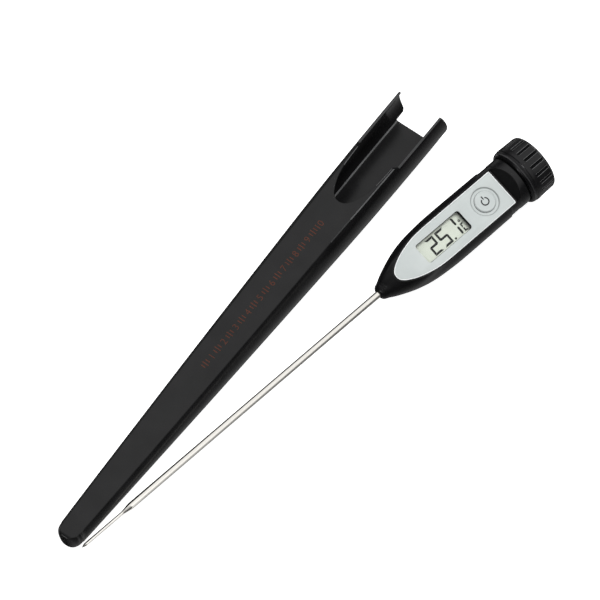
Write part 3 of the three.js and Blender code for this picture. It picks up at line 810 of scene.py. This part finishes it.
def battery_cap():
    outer = rounded([
        (294.2, 13.45), (294.2, 14.1), (294.55, 14.8), (295.3, 15.5), (296.3, 15.85), (296.5, 15.85), (296.8, 15.6), (297.3, 15.6), (297.65, 16.06), (299.2, 16.06),
        (300.2, 15.95), (304, 15.88), (307.6, 15.78), (307.8, 15.77), (308.0, 15.762), (308.2, 15.755), (308.4, 15.745), (309.3, 15.4), (309.8, 14.6), (309.8, 13.2), (309.55, 12.9), (309.55, 0),
    ], [0, 0.3, 0.6, 0.9, 0.5, 0.1, 0.15, 0.15, 0.25, 0.6, 1, 0, 0, 0, 0, 0, 0.6, 0.6, 0.5, 0.15, 0.15, 0], steps=4)
    fine = []
    for (x0, r0), (x1, r1) in zip(outer, outer[1:]):
        n = max(1, int(abs(x1 - x0) / (0.3 if x0 < 299.9 else 0.12 if x0 < 301.2 else 0.45)))
        fine += [(x0 + (x1 - x0) * k / n, r0 + (r1 - r0) * k / n) for k in range(n)]
    fine.append(outer[-1])
    inner = [(307.8, 0), (307.8, 12.7), (307.65, 12.9), (305.65, 13.1)]
    inner += [(305.55 - 0.11 * i, 13.1) for i in range(0, 84)]
    inner += [(296.3, 13.2), (296.25, 13.6), (294.5, 13.6), (294.3, 13.5)]
    offsets = [-9, -7.6, -6, -5, -4.4, -3.9, -3.4, -2.85, -2.4, -1.8, -0.9, 0, 0.9, 1.8, 2.4, 2.85, 3.4, 3.9, 4.4, 5, 6, 7.6]
    angles = sorted(math.radians((GROOVE_PHASE + g * 360 / GROOVES + o) % 360) for g in range(GROOVES) for o in offsets)
    return lathe("ribbed_cap", fine + inner, angles, T_FRAME, lambda x, r, a: cap_radius(x, female_thread(x, r, a), a), closed=False)


cap = battery_cap()
# the loop from the last inner point back to the first outer one closes the front rim
bm = bmesh.new()
bm.from_mesh(cap.data)
open_edges = [e for e in bm.edges if len(e.link_faces) == 1]
if open_edges:
    bmesh.ops.bridge_loops(bm, edges=open_edges)
bmesh.ops.recalc_face_normals(bm, faces=bm.faces)
bm.to_mesh(cap.data)
bm.free()
soften(cap, 38)
dress(cap, BLACK, "battery_cap", ["cap_shell"])
# painted highlights: lighter black and grey on the groove lips, the rear rim and the front flange's edge
cap.data.materials.append(EDGE_HIGHLIGHT_BLACK)
cap.data.materials.append(EDGE_HIGHLIGHT_GREY)
for f in cap.data.polygons:
    c = back_to_t @ f.center / MM
    r = math.hypot(c.y, c.z)
    if r > 15.2 and 300.1 < c.x < 308.4:
        step_deg = 360 / GROOVES
        d = (math.degrees(math.atan2(c.z, c.y)) - GROOVE_PHASE + step_deg / 2) % step_deg - step_deg / 2
        side = 16.1 * math.radians(abs(d))
        if 0.78 < side < 1.12 and (c.x > 300.9 or side < 0.9):
            f.material_index = 2 if side < 1.0 else 1
    if r > 14.9 and (308.5 < c.x < 308.95 or 295.2 < c.x < 295.75):
        f.material_index = 1

# ------------------------------------------------------------------ sheath
SHEATH_TIP = 1.2
HALF_X = [SHEATH_TIP, 12.2, 22.4, 43.1, 63.9, 84.9, 106.1, 127.4, 148.9, 170.6, 192.4, 214.5, 225, 236.7, 259, 281.7, 300.8, 320]
HALF_A = [6.9, 7.42, 7.87, 8.72, 9.52, 10.33, 11.15, 11.9, 12.63, 13.34, 14.03, 14.7, 14.98, 15.22, 15.52, 15.65, 15.65, 15.65]
TALL = 1.16


def front_z(x):
    return float(np.interp(x, [0, 214, 301.8], [5.6, 11.7, 12.2]))


def back_z(x):
    return float(np.interp(x, [0, 214, 301.8], [-5.7, -11.8, -12.4]))


def section(x, wall, fillet_top, fillet_low):
    """Half of the sheath's section at x, from the middle of the front round to the middle of the back."""
    a = float(np.interp(x, HALF_X, HALF_A)) - wall
    b = (float(np.interp(x, HALF_X, HALF_A)) - wall) * TALL
    zt, zb = front_z(x) - wall, back_z(x) + wall
    zt, zb = min(zt, b * 0.985), max(zb, -b * 0.985)
    yt, yb = a * math.sqrt(1 - (zt / b) ** 2), a * math.sqrt(1 - (zb / b) ** 2)
    t0, t1 = math.asin(zt / b), math.asin(zb / b)

    def on(t):
        return np.array((a * math.cos(t), b * math.sin(t)))

    def arc_step(t, length):
        return length / math.hypot(a * math.sin(t), b * math.cos(t))

    k0, k1 = arc_step(t0, fillet_top), arc_step(t1, fillet_low)
    c0, c1 = np.array((yt, zt)), np.array((yb, zb))
    s0, e0 = np.array((max(yt - fillet_top, 0.3), zt)), on(t0 - k0)
    s1, e1 = on(t1 + k1), np.array((max(yb - fillet_low, 0.3), zb))
    out = [(s0[0] * k / 10, zt) for k in range(10)]
    for k in range(7):
        w = k / 6
        out.append(tuple((1 - w) ** 2 * s0 + 2 * w * (1 - w) * c0 + w * w * e0))
    n = 26
    for k in range(1, n):
        out.append(tuple(on(t0 - k0 + (t1 + k1 - t0 + k0) * k / n)))
    for k in range(7):
        w = k / 6
        out.append(tuple((1 - w) ** 2 * s1 + 2 * w * (1 - w) * c1 + w * w * e1))
    out += [(e1[0] * (1 - k / 10), zb) for k in range(1, 11)]
    return out


def tip_plan(x, wall):
    """Half-width that the rounded end allows at x."""
    w, l = 6.95 - wall, 6.2
    u = (x - SHEATH_TIP - wall) / l
    if u >= 1:
        return 1e9
    c = (1 - max(u, 0.0)) ** (1 / 0.8)
    return w * max(1 - c * c, 0.0) ** 0.4


def sheath_skin(wall, x0, x1, fillet_top, fillet_low, end_round):
    xs = [x0 + 0.02]
    xs += [x0 + 6.4 * (k / 26) ** 1.8 for k in range(1, 27)]
    xs += [x0 + 6.4 + (x1 - x0 - 6.4) * k / 90 for k in range(1, 91)]
    rings = []
    for x in xs:
        half = section(x, wall, fillet_top, fillet_low)
        ymax = max(p[0] for p in half)
        lim = tip_plan(x, wall)
        ky = min(1.0, lim / ymax)
        # the end is also rounded over from front to back
        u = min(1.0, (x - x0) / end_round)
        kz = 1 - (1 - math.sqrt(max(1 - (1 - u) ** 2, 0.0))) * 0.22
        ring = [(x, y * ky, z * kz) for y, z in half]
        ring += [(x, -y * ky, z * kz) for y, z in half[-2:0:-1]]
        rings.append(ring)
    return rings


def skinned(name, rings, flip=False):
    n = len(rings[0])
    verts = [v for r in rings for v in r]
    faces = []
    for k in range(len(rings) - 1):
        for i in range(n):
            j = (i + 1) % n
            faces.append((k * n + i, k * n + j, (k + 1) * n + j, (k + 1) * n + i))
    m = n // 2
    for off in (0, (len(rings) - 1) * n):
        for i in range(m):
            q = list(dict.fromkeys([off + i, off + i + 1, off + (n - i - 1) % n, off + (n - i) % n]))
            if len(q) > 2:
                faces.append(tuple(q))
    return clean(new_object(name, verts, faces, S_FRAME))


outer = skinned("sheath_body", sheath_skin(0.0, SHEATH_TIP, 300.8, 0.75, 1.2, 2.2))
inner = skinned("inner_tool", sheath_skin(1.0, SHEATH_TIP + 1.4, 306.0, 0.5, 0.9, 2.0))


def window_cutter():
    half = curve_points([
        (227.2, 0), (227.6, 1.9), (228.4, 3.3), (229.8, 4.7), (231.6, 5.8), (234, 7.0), (236.8, 8.1), (239.8, 9.0), (243, 9.65),
        (246.5, 10.1), (254, 10.5), (262.4, 10.8),
    ], 6) + [(262.4 + 5 * i, 10.8 + 0.02 * i) for i in range(1, 10)] + [(312, 11.0)]
    full = half + [(x, -y) for x, y in half[:0:-1]]
    p = np.array(full)
    n = len(p)
    rings = [[] for _ in range(6)]
    for i in range(n):
        t = p[(i + 1) % n] - p[i - 1]
        o = np.array((-t[1], t[0]))
        o /= max(np.linalg.norm(o), 1e-9)
        x, y = p[i]
        zt = front_z(min(x, 301.8))
        for k, (d, z) in enumerate(((0, 3.0), (0, zt - 0.3), (0.09, zt - 0.09), (0.3, zt + 0.005), (0.36, zt + 0.4), (0.36, 26))):
            rings[k].append((x + o[0] * d, y + o[1] * d, z))
    verts = [v for r in rings for v in r]
    faces = []
    for k in range(5):
        for i in range(n):
            j = (i + 1) % n
            faces.append((k * n + i, k * n + j, (k + 1) * n + j, (k + 1) * n + i))
    for off in (0, 5 * n):
        for i in range(0, n // 2):
            q = list(dict.fromkeys([off + i, off + i + 1, off + (n - i - 1) % n, off + (n - i) % n]))
            if len(q) > 2:
                faces.append(tuple(q))
    return clean(new_object("window_tool_s", verts, faces, S_FRAME))


def side_prism(name, outline, y0, y1):
    n = len(outline)
    verts = [(x, y0, z) for x, z in outline] + [(x, y1, z) for x, z in outline]
    faces = [tuple(range(n)), tuple(range(n, 2 * n))[::-1]]
    faces += [(i, (i + 1) % n, n + (i + 1) % n, n + i) for i in range(n)]
    return clean(new_object(name, verts, faces, S_FRAME))


ARM_LOW = 10.6
step = side_prism("step_tool", rounded([(261.8, 9.5), (320, 9.5), (320, 30), (257.8, 30), (257.8, 12.42)], [0.3, 0, 0, 0, 0], closed=True), -25, 25)
back_cut = side_prism("back_tool", [(293.3, -25), (320, -25), (320, -ARM_LOW), (293.3, -ARM_LOW)], -25, 25)
end_cut = side_prism("end_tool", rounded([
    (297.9, 14), (298.2, 9.7), (298.9, 7.6), (299.6, 4.6), (300.2, 1.0), (300.6, -3.0), (300.8, -7.0), (300.6, -9.4), (299.0, -10.75), (299.0, -14),
    (320, -14), (320, 14),
], [0, 1.0, 2, 2, 2, 2, 2, 1.5, 0.8, 0, 0, 0], closed=True, steps=5), -25, 25)
cut(outer, inner, window_cutter(), step, back_cut, end_cut)
clean(outer)
soften(outer, 28)
dress(outer, SHEATH, "sheath", ["sheath_shell"])
# painted highlights: grey lines on the walls' inner lips by the step, the near shoulder fillet and the corners along
# the floor; lighter black on the step's top and the shoulder's start
outer.data.materials.append(EDGE_HIGHLIGHT_BLACK)
outer.data.materials.append(EDGE_HIGHLIGHT_GREY)
back_to_s = S_FRAME.inverted()
for f in outer.data.polygons:
    c = back_to_s @ f.center / MM
    n = back_to_s.to_3x3() @ f.normal
    top = front_z(min(c.x, 301.8))
    inward = n.y * c.y < 0
    if 0.3 < n.z < 0.95 and 246 < c.x < 262 and c.z > top - 0.4 and inward:
        f.material_index = 2
    elif 0.45 < n.z < 0.9 and 206 < c.x < 262.5 and c.z > top - 0.8 and c.y < 0 and not inward:
        f.material_index = 2 if c.x > 222 else 1
    elif 0.72 < n.z < 0.96 and c.x > 229 and c.z < back_z(c.x) + 1.9 and inward:
        f.material_index = 2
    elif n.z > 0.93 and c.x > 262.5 and 8.8 < c.z < 9.8:
        f.material_index = 1

# printed depth scale on the sheath's front: plain ticks and numbers, one centimetre apart
FRONT_TILT = math.atan2(11.7 - 5.6, 214)


def on_front(x):
    """Plane of the sheath's front at x: local X along it, Z out of it."""
    return Matrix.Translation(Vector((x, 0, front_z(x))) * MM) @ Matrix.Rotation(-FRONT_TILT, 4, "Y")


def text_mesh(name, text, size, plane, x, y, lift0, lift1):
    cu = bpy.data.curves.new(name, "FONT")
    cu.body = text
    cu.size = size * MM
    cu.align_x = "CENTER"
    cu.align_y = "BOTTOM_BASELINE"
    cu.extrude = (lift1 - lift0) / 2 * MM
    tmp = bpy.data.objects.new(name + "_c", cu)
    bpy.context.scene.collection.objects.link(tmp)
    dg = bpy.context.evaluated_depsgraph_get()
    me = bpy.data.meshes.new_from_object(tmp.evaluated_get(dg))
    bpy.data.objects.remove(tmp)
    bpy.data.curves.remove(cu)
    me.transform(Matrix.Translation((x * MM, y * MM, (lift0 + lift1) / 2 * MM)))
    me.transform(plane)
    ob = bpy.data.objects.new(name, me)
    bpy.context.scene.collection.objects.link(ob)
    ob.matrix_world = S_FRAME
    return clean(ob)


plane = on_front(110.6)
marks = []
for i in range(0, 11):
    if i:
        marks.append(text_mesh(f"num_{i}", str(i), 5.2, plane, 10 * i, -1.9, -0.03, 0.018))
    if i == 10:
        break
    for dx, tall in ((3.2, 1.3), (5.0, 1.9), (6.8, 1.3)):
        x = 10 * i + dx
        marks.append(sheet_metal(f"tick_{i}_{dx}", [[(x - 0.3, -tall), (x + 0.3, -tall), (x + 0.3, tall), (x - 0.3, tall)]],
                                 -0.03, 0.018, 0.004, S_FRAME, 1, plane))
scale = joined("depth_scale", marks)
dress(scale, RED, "sheath")

# ------------------------------------------------------------------ CAD nodes that stay as they are
LOOK = {
    "stem_flange": STEEL, "nose_seal": RUBBER, "thermistor_bead": EPOXY, "thermistor_lead_a": COPPER, "thermistor_lead_b": COPPER,
    "lcd_window": PANE, "lcd_glass": DISPLAY, "lcd_frame": WHITE, "zebra_strip_a": RUBBER, "zebra_strip_b": RUBBER,
    "circuit_board": BOARD, "chip_blob": EPOXY, "watch_crystal": NICKEL, "chip_capacitor": CERAMIC, "chip_resistor_a": EPOXY,
    "chip_resistor_b": EPOXY, "switch_body": EPOXY, "battery_tray": WHITE, "contact_negative": NICKEL, "contact_positive": NICKEL,
    "cap_seal_ring": RUBBER, "button_pin": BLACK, "switch_plunger": WHITE, "cell_can": NICKEL, "cell_gasket": WHITE,
    "cell_cover": NICKEL, "cell_core": EPOXY, "cap_pressure_pad": RUBBER,
}
for name, mat in LOOK.items():
    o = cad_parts[name]
    o.data.materials.clear()
    o.data.materials.append(mat)

# ------------------------------------------------------------------ floor, light and camera
floor_me = bpy.data.meshes.new("floor")
bm = bmesh.new()
bmesh.ops.create_grid(bm, x_segments=8, y_segments=8, size=3.0)
bm.to_mesh(floor_me)
bm.free()
floor = bpy.data.objects.new("floor", floor_me)
bpy.context.scene.collection.objects.link(floor)
floor.location = (0, 0, -0.00005)
fm, fnt, fp = material("floor_white")
fp.inputs["Base Color"].default_value = (0.6, 0.6, 0.6, 1)
fp.inputs["Roughness"].default_value = 0.9
fp.inputs["Specular IOR Level"].default_value = 0.1
fp.inputs["Emission Color"].default_value = (1, 1, 1, 1)
fp.inputs["Emission Strength"].default_value = 0.9
floor_me.materials.append(fm)
floor.visible_glossy = False

AZ, EL, DIST = -53.31, 62.0, 2.0
a, e = math.radians(AZ), math.radians(EL)
BACK = Vector((math.sin(a) * math.cos(e), -math.cos(a) * math.cos(e), math.sin(e)))
RIGHT = Vector((math.cos(a), math.sin(a), 0))
UPH = Vector((-math.sin(a), math.cos(a), 0))
AIM = Vector((0.023297, 0.021197, 0))

# a broad soft light overhead, dark walls round it and a pale table on the near side
world = bpy.data.worlds.new("studio")
bpy.context.scene.world = world
world.use_nodes = True
wn = world.node_tree
bg = wn.nodes["Background"]
tc = wn.nodes.new("ShaderNodeTexCoord")
xyz = wn.nodes.new("ShaderNodeSeparateXYZ")
wn.links.new(tc.outputs["Generated"], xyz.inputs[0])


def world_levels(axis, stops, both=False):
    """Brightness along one axis, from -1 to 1. both: the same on either side of the middle."""
    mr = wn.nodes.new("ShaderNodeMapRange")
    mr.inputs["From Min"].default_value = -1
    mr.inputs["From Max"].default_value = 1
    source = xyz.outputs[axis]
    if both:
        size = wn.nodes.new("ShaderNodeMath")
        size.operation = "ABSOLUTE"
        wn.links.new(source, size.inputs[0])
        source = size.outputs[0]
    wn.links.new(source, mr.inputs["Value"])
    cr = wn.nodes.new("ShaderNodeValToRGB")
    wn.links.new(mr.outputs["Result"], cr.inputs["Fac"])
    for _ in stops[2:]:
        cr.color_ramp.elements.new(0.5)
    for k, (pos, level) in enumerate(stops):
        cr.color_ramp.elements[k].position = (pos + 1) / 2
        cr.color_ramp.elements[k].color = (level, level, level, 1)
    return cr.outputs["Color"]


def world_mix(kind, a, b):
    m = wn.nodes.new("ShaderNodeMixRGB")
    m.blend_type = kind
    m.inputs["Fac"].default_value = 1
    wn.links.new(a, m.inputs[1])
    wn.links.new(b, m.inputs[2])
    return m.outputs["Color"]


dome = world_mix("MULTIPLY", world_levels("Z", [(-1, 0.03), (-0.1, 0.03), (0.0, 0.04), (0.3, 0.05), (0.44, 0.34), (0.75, 0.92), (1, 1.0)]),
                 world_levels("X", [(-0.5, 0.14), (0.02, 1.0)]))
table = world_mix("MULTIPLY", world_levels("Z", [(-1, 0.32), (-0.8, 0.26), (-0.5, 0.14), (-0.3, 0.05), (-0.1, 0.0)]),
                  world_levels("Y", [(-0.3, 1.0), (0.25, 0.0)]))
far = world_mix("MULTIPLY", world_levels("Z", [(-0.5, 0.0), (-0.28, 0.25), (-0.05, 0.1), (0.1, 0.0)]),
                world_levels("Y", [(0.3, 0.0), (0.7, 1.0)]))
sides = world_mix("MULTIPLY", world_levels("X", [(0.03, 1.0), (0.08, 0.0)], True),
                  world_levels("Z", [(-0.9, 0.2), (-0.45, 1.0), (0.0, 0.75), (0.15, 0.7), (0.45, 1.0), (0.6, 0.5)]))
wide = world_mix("MULTIPLY", world_levels("X", [(0.02, 1.0), (0.12, 0.0)], True),
                 world_levels("Z", [(-0.9, 0.2), (-0.55, 1.0), (-0.4, 0.0), (0.3, 0.0), (0.47, 1.0), (0.6, 0.5)]))
sides = world_mix("MULTIPLY", world_mix("LIGHTEN", sides, wide), world_levels("Y", [(0.3, 0.0), (0.6, 1.0)], True))
ends = world_mix("MULTIPLY", world_levels("X", [(0.72, 0.0), (0.86, 1.0)], True), world_levels("Z", [(0.24, 0.0), (0.38, 1.0)]))
total = dome
for part in (table, far, sides, ends):
    total = world_mix("ADD", total, part)
wn.links.new(total, bg.inputs["Color"])
bg.inputs["Strength"].default_value = 1.0


def area(name, place, target, size, power, size_y=None):
    d = bpy.data.lights.new(name, "AREA")
    d.energy = power
    d.size = size
    if size_y:
        d.shape = "RECTANGLE"
        d.size_y = size_y
    o = bpy.data.objects.new(name, d)
    bpy.context.scene.collection.objects.link(o)
    o.location = place
    o.rotation_mode = "QUATERNION"
    o.rotation_quaternion = (Vector(target) - Vector(place)).to_track_quat("-Z", "Y")
    return o


# soft key from the upper right of the picture and a weak fill, both for the matt surfaces
key = area("key", AIM + RIGHT * 0.8 + UPH * 0.8 + Vector((0, 0, 1.9)), AIM, 0.6, 33)
fill = area("fill", AIM - RIGHT * 0.6 - UPH * 0.8 + Vector((0, 0, 1.6)), AIM, 1.2, 9)
for lamp in (key, fill):
    lamp.visible_glossy = False
# low strip from the pointed end, caught by the cap's front edge
area("edge", AIM + Vector((-1.6, 0.33, 0.38)), AIM, 0.3, 2.0, 0.14)

cam_data = bpy.data.cameras.new("camera")
cam_data.sensor_width = 36
cam_data.lens = 36 * (2000 / 0.50756) / 600
cam_data.clip_start, cam_data.clip_end = 0.05, 20
cam = bpy.data.objects.new("camera", cam_data)
bpy.context.scene.collection.objects.link(cam)
cam.location = AIM + BACK * DIST
cam.rotation_mode = "QUATERNION"
cam.rotation_quaternion = (-BACK).to_track_quat("-Z", "Y")
bpy.context.scene.camera = cam

vs = bpy.context.scene.view_settings
vs.view_transform = "Standard"
vs.look = "None"
vs.exposure = 0.0
vs.gamma = 1.0
